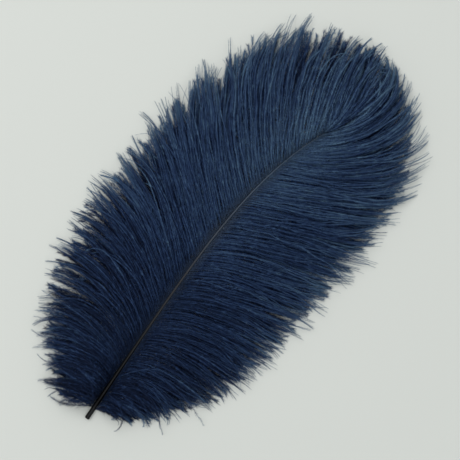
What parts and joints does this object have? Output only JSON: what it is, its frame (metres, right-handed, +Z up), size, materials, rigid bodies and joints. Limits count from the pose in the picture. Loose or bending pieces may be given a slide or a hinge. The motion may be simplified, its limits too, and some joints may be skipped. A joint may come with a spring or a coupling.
{
  "type": "ostrich feather",
  "caption": "Long soft plume with a slim tapering shaft and two broad vanes of loose drooping barbs, lying flat as an ornament.",
  "frame": {"origin": "on the small flat under the quill, ten millimetres from its cut end, on the surface that the feather lies on", "axes": "+X along the shaft from the quill to the tip, +Y towards the left vane, +Z up from the surface"},
  "size_m": [0.4013, 0.2196, 0.03],
  "materials": {
    "barbs": "navy dyed barbs, soft and matt with a faint blue sheen",
    "shaft": "dark dyed horn, satin, near black at the quill and grey brown towards the tip"
  },
  "bodies": {
    "root": {"feather": "barbs"}
  },
  "joints": []
}
